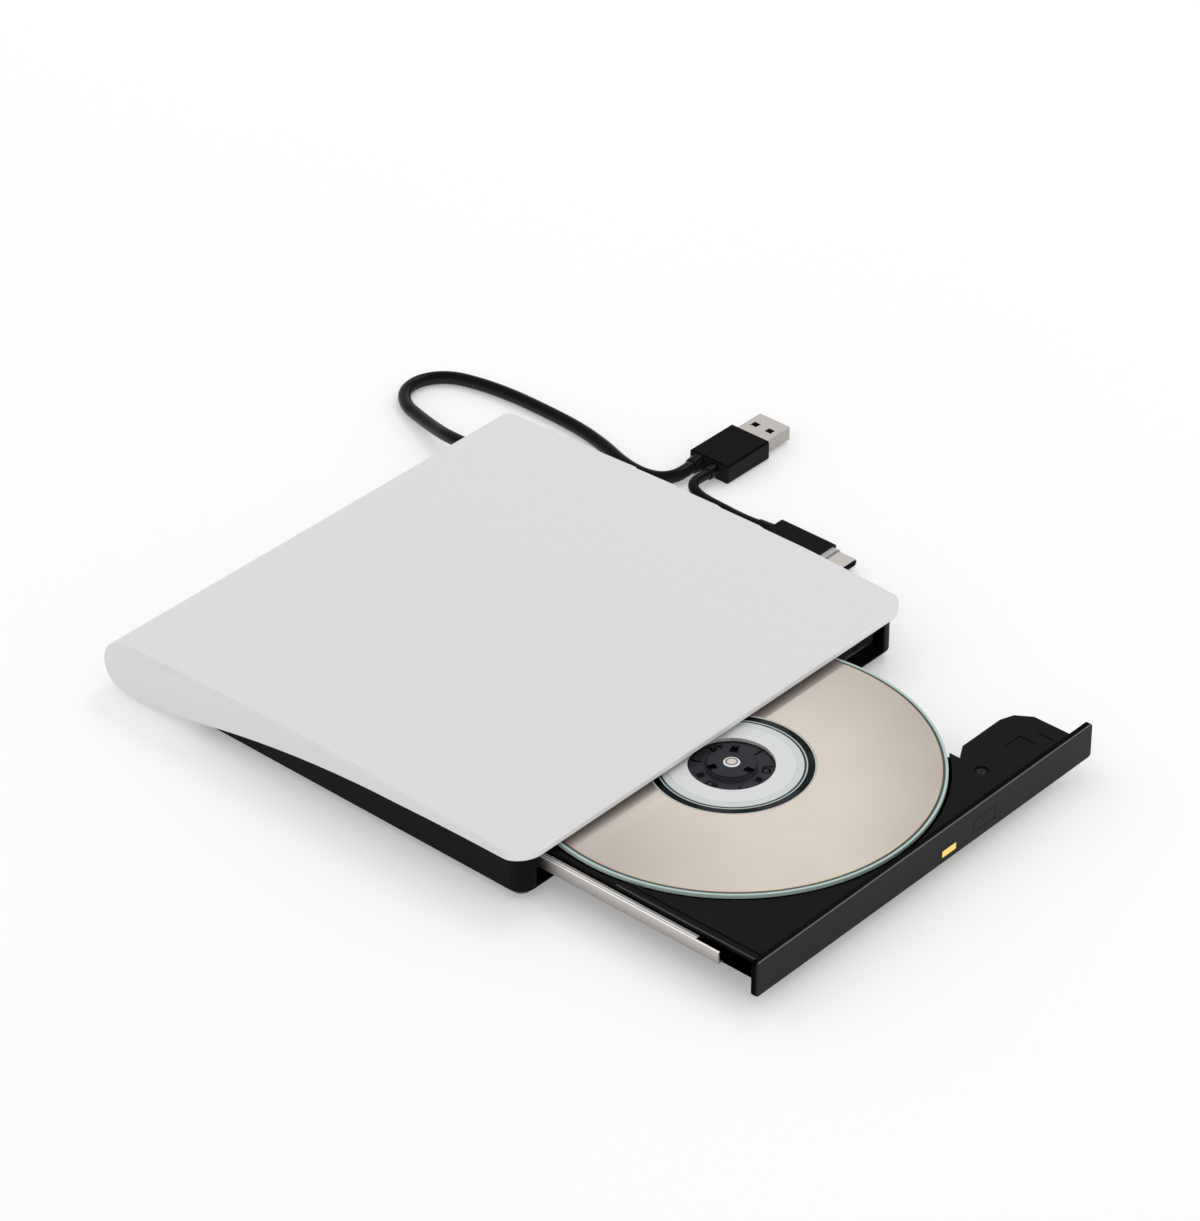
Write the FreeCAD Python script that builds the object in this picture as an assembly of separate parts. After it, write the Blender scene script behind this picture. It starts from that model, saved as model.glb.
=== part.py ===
import FreeCAD, Part
import math
import os

# External disc drive: a slim tray drive in a two-part casing, with its tray partly out.
# Millimetres. x to the right seen from the front, y to the rear, z up.
# The origin is under the middle of the drive, on the surface it stands on.

V = FreeCAD.Vector
os.makedirs("parts", exist_ok=True)

# Driving dimensions
CASE_HALF = 83.8            # half of the casing's width
CASE_FRONT = -42.0          # front plane of the black base
CASE_REAR = 118.4           # rearmost point of the lid's nose
LID_LIP = 2.3               # the lid stands out over the base's front
LID_WALL = 1.8
NOSE_R = 8.4
BASE_WALL = 2.0
BASE_INSET = 3.5            # the base stands inside the lid's outline
BASE_HALF = CASE_HALF - BASE_INSET
BASE_BOTTOM = 1.0
BASE_FLOOR = 2.6            # upper face of the base's floor
FOOT_R = 5.0

SHELL_HALF = 75.3           # slim drive's own metal box
SHELL_FRONT = -37.5
SHELL_REAR = 103.0
SHELL_FLOOR = 4.9
SHEET = 0.5
SHELL_TOP = 15.1            # underside of the metal lid

BEZEL_FRONT = -118.4        # front of the tray's bezel, as the tray stands here
BEZEL_T = 1.9
BEZEL_HALF = 72.8
BEZEL_LOW, BEZEL_HIGH = 4.0, 15.4
BEZEL_BACK = BEZEL_FRONT + BEZEL_T

DISC_X, DISC_Y = -7.5, -54.0
DISC_R = 60.0
DISC_HOLE_R = 7.5
DISC_LOW, DISC_HIGH = 12.8, 14.0

TRAY_LEFT, TRAY_RIGHT, TRAY_REAR = -69.3, 37.4, 24.0
TRAY_UNDER = 10.6           # underside of the tray's floor
WELL_FLOOR = 11.6
TRAY_TOP = 13.2
WELL_R = 61.0
SKIRT_LOW = 6.5
SKIRT = 1.4
WING_UNDER = 10.9
PLATE_LOW = 5.7             # cover sheet under the tray

RAIL_FRONT = -104.4
RAIL_LENGTH = 134.0
RAIL_T = 0.6
GAP = 0.3                   # usual gap beside a moving piece

ROD_Z = 8.4
ROD_R = 1.0
SCREW_X = -31.6
LENS_Y = DISC_Y + 23.0

CORD_D = 4.2
SHORT_CORD_D = 3.3
PLUG_A_REAR = 117.0
PLUG_C_X, PLUG_C_Z = 103.3, 2.5


def box(x0, x1, y0, y1, z0, z1):
    return Part.makeBox(x1 - x0, y1 - y0, z1 - z0, V(x0, y0, z0))


def cyl(x, y, z0, z1, radius):
    return Part.makeCylinder(radius, z1 - z0, V(x, y, z0))


def cyl_along(axis, start, end, radius):
    """A round bar from one point to another, along a row axis."""
    return Part.makeCylinder(radius, (end - start).Length, start, axis)


def cone_along(start, end, radius_start, radius_end):
    return Part.makeCone(radius_start, radius_end, (end - start).Length, start, end - start)


def joined(shapes):
    """One solid from touching shapes."""
    result = shapes[0].fuse(shapes[1:]) if len(shapes) > 1 else shapes[0]
    return result.removeSplitter()


def outline(start, steps):
    """A closed wire: each step is an end point, or (middle, end) of an arc."""
    edges = []
    here = start
    for step in steps + [start]:
        if isinstance(step, tuple):
            middle, end = step
            edges.append(Part.Arc(here, middle, end).toShape())
        else:
            end = step
            if here.distanceToPoint(end) > 1e-6:
                edges.append(Part.LineSegment(here, end).toShape())
        here = end
    return Part.Wire(edges)


def across(wire, half):
    """A solid from a side outline in the plane x = 0, reaching both ways."""
    face = Part.Face(wire)
    face.translate(V(-half, 0, 0))
    return face.extrude(V(2 * half, 0, 0))


def upright(points, z0, z1):
    """A plate from its plan outline."""
    corners = [V(x, y, z0) for x, y in points]
    return Part.Face(Part.makePolygon(corners + corners[:1])).extrude(V(0, 0, z1 - z0))


def rounded_plan(half, y0, y1, front_r, rear_r, z0, z1):
    """A block whose four upright edges are rounded."""
    block = box(-half, half, y0, y1, z0, z1)
    for y, radius in ((y0, front_r), (y1, rear_r)):
        corners = [e for e in edges_along(block, "z") if abs(e.CenterOfMass.y - y) < 1e-6]
        block = block.makeFillet(radius, corners)
    return block


def edges_along(shape, axis):
    """The straight edges of a shape that run along one row axis."""
    found = []
    for edge in shape.Edges:
        size = edge.BoundBox
        spans = {"x": size.XLength, "y": size.YLength, "z": size.ZLength}
        others = [length for name, length in spans.items() if name != axis]
        if spans[axis] > 0.01 and max(others) < 1e-6:
            found.append(edge)
    return found


def write(name, shape):
    shape.exportStep(f"parts/{name}.step")
    low, high = shape.BoundBox.ZMin, shape.BoundBox.ZMax
    state = "" if shape.isValid() else "  NOT VALID"
    print(f"{name}: {len(shape.Solids)} solid, volume {shape.Volume:.1f}, z {low:.2f} to {high:.2f}{state}")


# Casing

LID_FRONT = CASE_FRONT - LID_LIP
TOP_FRONT = V(0, LID_FRONT + 1.2, 17.8)
CREST = V(0, 34.5, 19.8)
NOSE_Y = CASE_REAR - NOSE_R
NOSE_Z = 9.5
NOSE_LEAN = math.radians(2.9)   # slope of the lid's top where the nose begins
BELLY = V(0, NOSE_Y, NOSE_Z - NOSE_R)
BELLY_END = V(0, 79.0, 4.9)
WAIST = V(0, 2.0, 14.6)
SIDE_FRONT = V(0, LID_FRONT, 15.6)


def nose_top(radius):
    """Where the nose's round begins, at that distance from its axis."""
    return V(0, NOSE_Y + radius * math.sin(NOSE_LEAN), NOSE_Z + radius * math.cos(NOSE_LEAN))


def lid_underside():
    """The lower edge of the lid's sides, from the nose to the front."""
    return [(V(0, 94.5, 2.05), BELLY_END), (V(0, 41.0, 11.7), WAIST), (V(0, -20.0, 15.35), SIDE_FRONT)]


def lid_side_outline():
    steps = [
        V(0, LID_FRONT, 16.8),
        (V(0, LID_FRONT + 0.35, 17.52), TOP_FRONT),
        (CREST, nose_top(NOSE_R)),
        (V(0, CASE_REAR, NOSE_Z), BELLY),
    ]
    return outline(SIDE_FRONT, steps + lid_underside())


def lid_hollow_outline():
    inner_r = NOSE_R - LID_WALL
    start = V(0, CASE_FRONT, -5)
    steps = [
        V(0, CASE_FRONT, 17.9 - LID_WALL),
        (V(0, CREST.y, CREST.z - LID_WALL), nose_top(inner_r)),
        (V(0, NOSE_Y + inner_r, NOSE_Z), V(0, NOSE_Y, NOSE_Z - inner_r)),
        (V(0, 98.0, 3.2), V(0, 84.0, 4.75)),
        V(0, 84.0, -5),
    ]
    return outline(start, steps)


CORD_X, CORD_Z = 72.0, 7.8      # where the cord comes out of the lid's nose
GROMMET_R = 3.0
GROMMET_REAR = CASE_REAR - 4.0
CREASE_R = 1.2                  # soft crease between the lid's sides and its top and nose
LID_FRONT_R = 9.0
LID_INNER_R = 6.0
SEAM_OVERLAP = 0.6              # the lid's side walls stand on the base's walls by this much


def along_cord_exit(y0, y1, radius):
    return cyl_along(V(0, 1, 0), V(CORD_X, y0, CORD_Z), V(CORD_X, y1, CORD_Z), radius)


def top_cover():
    body = across(lid_side_outline(), CASE_HALF)
    side_edges = [e for e in body.Edges if e.BoundBox.XLength < 1e-6]
    rims = [e for e in side_edges if e.BoundBox.YMax > NOSE_Y + 0.2 and e.BoundBox.ZMax > NOSE_Z]
    body = body.makeFillet(CREASE_R, rims)
    body = body.common(rounded_plan(CASE_HALF, LID_FRONT, CASE_REAR + 20, LID_FRONT_R, 5.0, -1, 30))
    inner_half = BASE_HALF - SEAM_OVERLAP
    inner_rear = CASE_REAR - LID_WALL + 1
    plan = rounded_plan(inner_half, CASE_FRONT + 4.0, inner_rear, LID_INNER_R, LID_INNER_R, -6, 30)
    hollow = across(lid_hollow_outline(), inner_half).common(plan)
    return body.cut([hollow, along_cord_exit(GROMMET_REAR, CASE_REAR + 2, GROMMET_R)])


OPENING_HALF = 74.6
OPENING_LOW = 3.7
BASE_REAR = 83.8
BOSSES = [(x, y) for x in (-66.0, 66.0) for y in (-30.0, 72.0)]
FEET = [(x, y) for x in (-58.0, 58.0) for y in (-30.0, 74.0)]


def above_base():
    """Everything over the seam between the lid and the base."""
    seam = 0.1
    steps = lid_underside()
    wire = outline(BELLY, steps + [V(0, -60, 15.8), V(0, -60, 40), V(0, 130, 40), V(0, 130, BELLY.z)])
    region = across(wire, 100)
    region.translate(V(0, 0, -seam))
    return region


def base_cover():
    block = rounded_plan(BASE_HALF, CASE_FRONT, BASE_REAR, 5.0, 3.0, BASE_BOTTOM, 16.0)
    bottom = [e for e in block.Edges if e.BoundBox.ZMax < BASE_BOTTOM + 1e-6]
    block = block.makeChamfer(2.2, bottom)
    inner_half = BASE_HALF - BASE_WALL
    inner_front, inner_rear = CASE_FRONT + BASE_WALL, BASE_REAR - BASE_WALL
    room = rounded_plan(inner_half, inner_front, inner_rear, 3.0, 1.0, BASE_FLOOR, 17.0)
    mouth = box(-OPENING_HALF, OPENING_HALF, CASE_FRONT - 1, CASE_FRONT + BASE_WALL + 1, OPENING_LOW, 17.0)
    body = block.cut([room, mouth, above_base()])
    bosses = [cyl(x, y, BASE_FLOOR, SHELL_FLOOR, 3.0) for x, y in BOSSES]
    body = joined([body] + bosses)
    screw_holes = [cyl(x, y, BASE_BOTTOM - 1, SHELL_FLOOR + 1, 1.0) for x, y in BOSSES]
    head_holes = [cyl(x, y, BASE_BOTTOM - 1, BASE_BOTTOM + 0.9, 2.1) for x, y in BOSSES]
    return body.cut(screw_holes + head_holes)


def rubber_feet():
    feet = [cyl(x, y, 0, BASE_BOTTOM, FOOT_R) for x, y in FEET]
    return Part.makeCompound([foot.makeFillet(0.3, foot.Edges[2:3]) for foot in feet])


def base_screw(x, y):
    """A screw driven upwards, with a cross slot under its head."""
    low, head_top, head_r, slot_half = BASE_BOTTOM + 0.1, BASE_BOTTOM + 0.9, 1.95, 0.2
    body = joined([cyl(x, y, low, head_top, head_r), cyl(x, y, head_top, SHELL_FLOOR, 0.95)])
    reach = head_r * 0.6
    slots = [box(x - reach, x + reach, y - slot_half, y + slot_half, low, low + 0.4),
             box(x - slot_half, x + slot_half, y - reach, y + reach, low, low + 0.4)]
    return body.cut(slots)


def base_screws():
    return Part.makeCompound([base_screw(x, y) for x, y in BOSSES])


# Slim drive's fixed parts

CONNECTOR = (48.0, 70.0)        # x span of the plug through the rear wall


def drive_bottom_shell():
    outer = box(-SHELL_HALF, SHELL_HALF, SHELL_FRONT, SHELL_REAR, SHELL_FLOOR, SHELL_TOP)
    inner = box(-SHELL_HALF + SHEET, SHELL_HALF - SHEET, SHELL_FRONT - 1, SHELL_REAR - SHEET,
                SHELL_FLOOR + SHEET, SHELL_TOP + 1)
    window = box(CONNECTOR[0], CONNECTOR[1], SHELL_REAR - 2, SHELL_REAR + 1, SHELL_FLOOR + 1.6, 11.0)
    return outer.cut([inner, window])


def drive_top_shell():
    flange = 2.5
    plate = box(-SHELL_HALF - 0.5, SHELL_HALF + 0.5, SHELL_FRONT, SHELL_REAR, SHELL_TOP, SHELL_TOP + SHEET)
    sides = [box(x, x + 0.45, SHELL_FRONT, SHELL_REAR, SHELL_TOP - flange, SHELL_TOP)
             for x in (-SHELL_HALF - 0.5, SHELL_HALF + 0.05)]
    return joined([plate] + sides)


def drive_shell_screws():
    """Small side screws through the flanges of the metal lid."""
    screws = []
    for side in (-1, 1):
        for y in (-20.0, 85.0):
            head = cyl_along(V(side, 0, 0), V(side * (SHELL_HALF + 0.5), y, 13.8),
                             V(side * (SHELL_HALF + 1.1), y, 13.8), 1.2)
            screws.append(head)
    return Part.makeCompound(screws)


LEFT_WEB = -71.8                # outer face of the left rail
RAIL_LOW, RAIL_HIGH = 7.7, 11.5
RIGHT_WEB = 36.8                # outer face of the right rail
RIGHT_LOW, RIGHT_HIGH = 6.6, 9.9
GUIDE_FRONT, GUIDE_REAR = -36.0, 101.5
FLOOR_TOP = SHELL_FLOOR + SHEET


def left_rail_guide():
    wall = box(-SHELL_HALF + SHEET, LEFT_WEB - GAP, GUIDE_FRONT, GUIDE_REAR, FLOOR_TOP, 12.4)
    lip = box(LEFT_WEB - GAP, -70.6, GUIDE_FRONT, GUIDE_REAR, RAIL_HIGH + GAP, 12.4)
    foot = box(LEFT_WEB - GAP, -70.6, GUIDE_FRONT, GUIDE_REAR, FLOOR_TOP, RAIL_LOW - GAP)
    return joined([wall, lip, foot])


def right_rail_guide():
    wall = box(RIGHT_WEB + GAP, 39.6, GUIDE_FRONT, GUIDE_REAR, FLOOR_TOP, 10.3)
    foot = box(34.4, RIGHT_WEB + GAP, GUIDE_FRONT, GUIDE_REAR, FLOOR_TOP, RIGHT_LOW - GAP)
    return joined([wall, foot])


BOARD = (43.0, 73.0, 14.0, 95.0)


def chips_on(z, sizes):
    """Flat blocks on a board: x, y, width, depth and height of each."""
    chips = [box(x - w / 2, x + w / 2, y - d / 2, y + d / 2, z, z + h) for x, y, w, d, h in sizes]
    return Part.makeCompound(chips)


def main_board():
    x0, x1, y0, y1 = BOARD
    board = box(x0, x1, y0, y1, 6.4, 7.4)
    posts = [box(x, x + 4, y, y + 4, FLOOR_TOP, 6.4) for x in (x0, x1 - 4) for y in (y0, y1 - 4)]
    return joined([board] + posts)


def main_board_chips():
    return chips_on(7.4, [(58, 44, 12, 12, 1.4), (56, 66, 14, 10, 1.2), (50, 26, 6, 8, 1.0),
                          (64, 27, 5, 4, 1.6), (48, 82, 5, 5, 1.0)])


def drive_connector():
    x0, x1 = CONNECTOR
    body = box(x0 + 0.5, x1 - 0.5, 90.0, 106.0, 7.4, 10.2)
    slot = box(x0 + 2, x1 - 2, 104.0, 107.0, 8.3, 9.3)
    return body.cut(slot)


def bridge_board():
    board = box(44.0, 76.0, 104.5, 113.5, 6.4, 7.4)
    chip = box(46.0, 50.0, 107.5, 112.0, 7.4, 8.6)
    crystal = box(71.0, 75.0, 106.0, 108.0, 7.4, 8.6)
    return joined([board, chip, crystal])


LATCH_X, LATCH_Y = 54.0, -108.0
CLOSED = 78.0                   # from here to the closed tray
LATCH_REACH = 10.0


def latch_post():
    x, y = LATCH_X - 2.6, LATCH_Y + LATCH_REACH - 1.6 + CLOSED
    return joined([cyl(x, y, FLOOR_TOP, FLOOR_TOP + 1.3, 1.2), cyl(x, y, FLOOR_TOP, FLOOR_TOP + 0.6, 2.2)])


EJECTOR_X, EJECTOR_Z = 42.2, 7.6
EJECTOR_TIP = -26.0
EJECTOR_BLOCK = (-8.0, -1.0)
EJECTOR_R = 0.8


def along_ejector(y0, y1, radius):
    return cyl_along(V(0, 1, 0), V(EJECTOR_X, y0, EJECTOR_Z), V(EJECTOR_X, y1, EJECTOR_Z), radius)


def ejector_bracket():
    y0, y1 = EJECTOR_BLOCK
    block = box(EJECTOR_X - 1.9, EJECTOR_X + 1.9, y0, y1, FLOOR_TOP, 9.4)
    return block.cut(along_ejector(y0 - 1, y1 + 1, EJECTOR_R + 0.05))


def ejector_rod():
    bar = along_ejector(EJECTOR_TIP, EJECTOR_TIP + 28.0, EJECTOR_R)
    collar = along_ejector(EJECTOR_TIP + 3, EJECTOR_TIP + 4, 2 * EJECTOR_R)
    return joined([bar, collar])


def ejector_spring():
    """A short coil spring round the rod, in front of the bracket."""
    wire_r, coil_r, pitch, turns, steps = 0.18, 1.35, 0.8, 5, 8
    rear = EJECTOR_BLOCK[0] - wire_r - 0.02
    points = []
    for index in range(turns * steps + 1):
        angle = 2 * math.pi * index / steps
        points.append((EJECTOR_X + coil_r * math.cos(angle), rear - pitch * index / steps,
                       EJECTOR_Z + coil_r * math.sin(angle)))
    print(f"ejector_spring: gap between turns {pitch - 2 * wire_r:.2f}")
    return cord("ejector_spring", points, 2 * wire_r)


# Tray

def in_disc_well(radius, z0, z1):
    return cyl(DISC_X, DISC_Y, z0, z1, radius)


WING = [(TRAY_RIGHT - 1, BEZEL_BACK), (TRAY_RIGHT - 1, -99.5), (42.3, -96.0), (59.2, -96.0), (63.6, -97.6),
        (66.8, -102.4), (66.8, BEZEL_BACK)]
BUTTON = (19.1, 28.9, 7.0, 11.1)    # x and z spans of the hole for the eject button
SLED_SLOT_HALF = 12.0
WING_SCREW = (36.8, -107.0)
DENT = 0.25                         # depth of the shallow marks on the wing


def tray():
    floor = box(TRAY_LEFT, TRAY_RIGHT, BEZEL_BACK, TRAY_REAR, TRAY_UNDER, TRAY_TOP)
    wing = upright(WING, WING_UNDER, TRAY_TOP)
    left_skirt = box(TRAY_LEFT, TRAY_LEFT + SKIRT, BEZEL_BACK, TRAY_REAR, SKIRT_LOW, TRAY_UNDER)
    right_skirt = box(31.6, 31.6 + SKIRT, BEZEL_BACK, TRAY_REAR, SKIRT_LOW, TRAY_UNDER)
    front_skirt = box(TRAY_LEFT, 66.8, BEZEL_BACK, BEZEL_BACK + SKIRT, SKIRT_LOW, TRAY_TOP)
    rear_skirt = box(TRAY_LEFT, 33.0, TRAY_REAR - SKIRT, TRAY_REAR, SKIRT_LOW, TRAY_UNDER)
    left_runner = box(LEFT_WEB + RAIL_T + 0.4, TRAY_LEFT, BEZEL_BACK, TRAY_REAR,
                      RAIL_LOW + RAIL_T + GAP, 10.5)
    right_runner = box(33.0, RIGHT_WEB - RAIL_T - 0.4, BEZEL_BACK, TRAY_REAR, 7.6, 8.9)
    latch_pin = cyl(LATCH_X, LATCH_Y, 6.9, WING_UNDER, 1.2)
    push_lug = box(40.6, 43.8, -99.0, -97.0, 6.6, WING_UNDER)
    border = box(-66.9, -65.9, BEZEL_BACK + 1.5, -66.0, TRAY_TOP, TRAY_TOP + 0.35)
    body = joined([floor, wing, left_skirt, right_skirt, front_skirt, rear_skirt, left_runner, right_runner,
                   latch_pin, push_lug, border])
    x0, x1, z0, z1 = BUTTON
    slot = box(DISC_X - SLED_SLOT_HALF, DISC_X + SLED_SLOT_HALF, DISC_Y, 16.0, TRAY_UNDER - 1, TRAY_TOP + 1)
    button_room = box(x0 - 0.6, x1 + 0.6, BEZEL_BACK - 1, BEZEL_BACK + SKIRT + 0.1, SKIRT_LOW, TRAY_UNDER)
    lamp_room = box(5.4, 12.4, BEZEL_BACK - 1, BEZEL_BACK + SKIRT + 0.1, SKIRT_LOW - 1, 9.4)
    screw_hole = cyl(*WING_SCREW, WING_UNDER - 1, TRAY_TOP + 1, 1.3)
    screw_dish = cyl(*WING_SCREW, TRAY_TOP - 0.5, TRAY_TOP + 1, 2.1)
    plate_mark = box(50.0, 57.0, -110.6, -104.8, TRAY_TOP - DENT, TRAY_TOP + 1)
    line_mark = box(61.0, 61.5, -113.2, -107.9, TRAY_TOP - DENT, TRAY_TOP + 1)
    return body.cut([in_disc_well(WELL_R, WELL_FLOOR, TRAY_TOP + 1), in_disc_well(15.0, TRAY_UNDER - 1, 20),
                     slot, button_room, lamp_room, screw_hole, screw_dish, plate_mark, line_mark])


LAMP = (5.5, 11.5, 6.1, 8.2)        # x and z spans of the lamp's window


def bezel():
    block = box(-BEZEL_HALF, BEZEL_HALF, BEZEL_FRONT, BEZEL_BACK, BEZEL_LOW, BEZEL_HIGH)
    block = block.makeFillet(1.2, edges_along(block, "y"))
    front = [e for e in block.Edges if e.BoundBox.YMax < BEZEL_FRONT + 1e-6]
    block = block.makeFillet(0.5, front)
    holes = []
    for x0, x1, z0, z1 in (BUTTON, LAMP):
        holes.append(box(x0, x1, BEZEL_FRONT - 1, BEZEL_BACK + 1, z0, z1))
    return block.cut(holes)


def led_window():
    x0, x1, z0, z1 = LAMP
    window = box(x0, x1, BEZEL_FRONT, BEZEL_BACK, z0, z1)
    light_guide = box(8.0, 9.8, BEZEL_BACK, -114.9, 6.6, 8.1)
    return joined([window, light_guide])


def eject_button():
    x0, x1, z0, z1 = BUTTON
    play = 0.2
    cap_back = BEZEL_FRONT + 1.3
    cap = box(x0 + play, x1 - play, BEZEL_FRONT, cap_back, z0 + play, z1 - play)
    stem = box(22.0, 26.0, cap_back, -115.5, 7.8, 10.0)
    return joined([cap, stem])


def traverse_plate():
    plate = box(-66.0, 31.0, -112.0, 20.0, PLATE_LOW, PLATE_LOW + SHEET)
    pads = [box(x, x + 3, y, y + 3, PLATE_LOW + SHEET, SKIRT_LOW)
            for x in (-66.0, 28.0) for y in (-112.0, 17.0)]
    hole = cyl(DISC_X + 40, DISC_Y, 0, 20, 2.0)
    return joined([plate] + pads).cut(hole)


TRAY_BOARD = (-60.0, 27.0, -113.6, -96.0)


def tray_board():
    x0, x1, y0, y1 = TRAY_BOARD
    board = box(x0, x1, y0, y1, 6.9, 7.7)
    posts = [box(x, x + 3, y0 + 2, y1 - 2, PLATE_LOW + SHEET, 6.9) for x in (x0, -16.0, x1 - 3)]
    return joined([board] + posts)


def tray_board_chips():
    return chips_on(7.7, [(-45, -104, 9, 9, 1.2), (-28, -103, 7, 5, 1.0), (-8, -104, 6, 6, 1.0),
                          (14, -103, 5, 4, 1.4)])


def eject_switch():
    body = box(21.5, 26.5, -114.2, -110.5, 7.7, 10.0)
    tip = box(23.0, 25.0, -114.8, -114.2, 8.2, 9.6)
    return joined([body, tip])


def status_lamp():
    return box(7.8, 10.0, -114.9, -112.4, 7.7, 9.0)


def ribbon_cable():
    """Flat cable from the tray's board along the tray, folded back at its end."""
    strip = box(-62.5, -48.5, -95.9, 18.0, 7.0, 7.2)
    fold = box(-62.5, -48.5, 17.8, 18.0, 7.2, 8.0)
    back = box(-62.5, -48.5, -20.0, 18.0, 7.8, 8.0)
    return joined([strip, fold, back])


def spindle_stator():
    base = cyl(DISC_X, DISC_Y, PLATE_LOW + SHEET, 7.0, 12.5)
    core = cyl(DISC_X, DISC_Y, 7.0, 9.0, 9.0)
    teeth = []
    for index in range(9):
        tooth = box(6.0, 10.4, -1.1, 1.1, 7.3, 8.8)
        tooth.rotate(V(0, 0, 0), V(0, 0, 1), index * 40)
        tooth.translate(V(DISC_X, DISC_Y, 0))
        teeth.append(tooth)
    bore = cyl(DISC_X, DISC_Y, 6.5, 10, 1.55)
    return joined([base, core] + teeth).cut(bore)


# Spindle: rotor cup, turntable, hub and the disc it carries

RING_R = (11.9, 13.0)
HUB_R = 7.3
PIN_R = 2.4


def around(shape, count, start=0.0):
    """Copies of a shape turned about the disc's axis."""
    copies = []
    for index in range(count):
        copy = shape.copy()
        copy.rotate(V(DISC_X, DISC_Y, 0), V(0, 0, 1), start + index * 360.0 / count)
        copies.append(copy)
    return copies


CLAW_TURN = 34.0                # bearing of the first claw
SLOT_TURN = 40.0                # a slot stands this far to each side of a claw
POCKET_TURN = 29.0
PLATE_TOP = 12.6


def at_hub(r0, r1, half, z0, z1):
    """A block that starts at one distance from the disc's axis and ends at another."""
    return box(DISC_X + r0, DISC_X + r1, DISC_Y - half, DISC_Y + half, z0, z1)


def claws():
    """Three blocks round the hub, which are also the rooms they sit in."""
    return around(at_hub(4.6, 7.0, 1.2, 13.0, 13.9), 3, CLAW_TURN)


def hub_pockets():
    """Openings in the turntable: beside each claw one room, two slots and a square ring."""
    low = PLATE_TOP - 0.9
    rooms = around(at_hub(8.3, 10.4, 1.1, low, PLATE_TOP + 0.1), 3, CLAW_TURN)
    slot = at_hub(8.8, 11.6, 0.4, low, PLATE_TOP + 0.1)
    slots = around(slot, 3, CLAW_TURN - SLOT_TURN) + around(slot, 3, CLAW_TURN + SLOT_TURN)
    ring = at_hub(8.4, 11.0, 1.3, low, PLATE_TOP + 0.1)
    ring = ring.cut(at_hub(9.1, 10.3, 0.6, low - 0.1, PLATE_TOP + 0.2))
    return rooms + slots + around(ring, 3, CLAW_TURN + POCKET_TURN)


def turntable():
    plate = cyl(DISC_X, DISC_Y, 11.3, PLATE_TOP, RING_R[1])
    cup = cyl(DISC_X, DISC_Y, 9.3, 11.3, 12.4).cut(cyl(DISC_X, DISC_Y, 9.3, 10.6, 11.2))
    hub = cyl(DISC_X, DISC_Y, PLATE_TOP, 14.5, HUB_R)
    hub = hub.makeChamfer(0.5, [e for e in hub.Edges if e.BoundBox.ZMin > 14.4])
    shaft = cyl(DISC_X, DISC_Y, 7.0, 10.7, 1.5)
    body = joined([plate, cup, hub, shaft])
    claw_rooms = around(at_hub(4.6, 7.0, 1.2, 13.0, 14.6), 3, CLAW_TURN)
    pin_hole = cyl(DISC_X, DISC_Y, 13.0, 15.0, PIN_R)
    return body.cut(claw_rooms + hub_pockets() + [pin_hole])


def turntable_ring():
    ring = cyl(DISC_X, DISC_Y, PLATE_TOP, DISC_LOW, RING_R[1])
    return ring.cut(cyl(DISC_X, DISC_Y, 12.0, 13.0, RING_R[0]))


def hub_claws():
    return Part.makeCompound(claws())


def centre_pin():
    pin = cyl(DISC_X, DISC_Y, 13.0, 14.7, PIN_R)
    return pin.makeFillet(0.4, [e for e in pin.Edges if e.BoundBox.ZMin > 14.6])


def disc():
    plate = cyl(DISC_X, DISC_Y, DISC_LOW, DISC_HIGH, DISC_R)
    hole = cyl(DISC_X, DISC_Y, DISC_LOW - 1, DISC_HIGH + 1, DISC_HOLE_R)
    return plate.cut(hole)


# Pickup and its drive

ROD_LEFT, ROD_RIGHT = -27.0, 13.0
SLED_FRONT, SLED_REAR = -40.0, -18.0
ROD_ENDS = (-46.0, 22.0)
SCREW_R, SCREW_BORE_R, SCREW_PITCH = 0.8, 0.88, 3.0


def rod_at(x, radius, y0, y1):
    """A round bar along the tray at the height of the guide rods."""
    return cyl_along(V(0, 1, 0), V(x, y0, ROD_Z), V(x, y1, ROD_Z), radius)


def guide_rods():
    return Part.makeCompound([rod_at(x, ROD_R, *ROD_ENDS) for x in (ROD_LEFT, ROD_RIGHT)])


def rod_clamps():
    clamps = []
    for x in (ROD_LEFT, ROD_RIGHT):
        for y in (-46.0, 19.4):
            block = box(x - 2.2, x + 2.2, y, y + 2.6, PLATE_LOW + SHEET, 10.2)
            clamps.append(block.cut(rod_at(x, ROD_R, y - 1, y + 4)))
    return Part.makeCompound(clamps)


def pickup_sled():
    low, high = 6.5, 10.0
    body = box(-23.0, 9.0, SLED_FRONT, SLED_REAR, low, high)
    ears = [box(ROD_LEFT - 2, -23.0, SLED_FRONT, SLED_FRONT + 5, low, high),
            box(ROD_LEFT - 2, -23.0, SLED_REAR - 5, SLED_REAR, low, high),
            box(9.0, ROD_RIGHT + 2, -32.0, -26.0, low, high)]
    bores = [rod_at(x, ROD_R + 0.06, -60, 40) for x in (ROD_LEFT, ROD_RIGHT)]
    pocket = box(DISC_X - 6, DISC_X + 6, LENS_Y - 5, LENS_Y + 5, 8.0, high + 1)
    bay = box(-0.5, 6.0, -27.0, -20.0, 8.2, high + 1)
    return joined([body] + ears).cut(bores + [pocket, bay])


def laser_unit():
    block = box(0.0, 5.5, -26.5, -20.5, 8.2, 9.8)
    can = cyl_along(V(-1, 0, 0), V(0.0, -23.5, 9.0), V(-0.4, -23.5, 9.0), 0.7)
    return joined([block, can])


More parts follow.
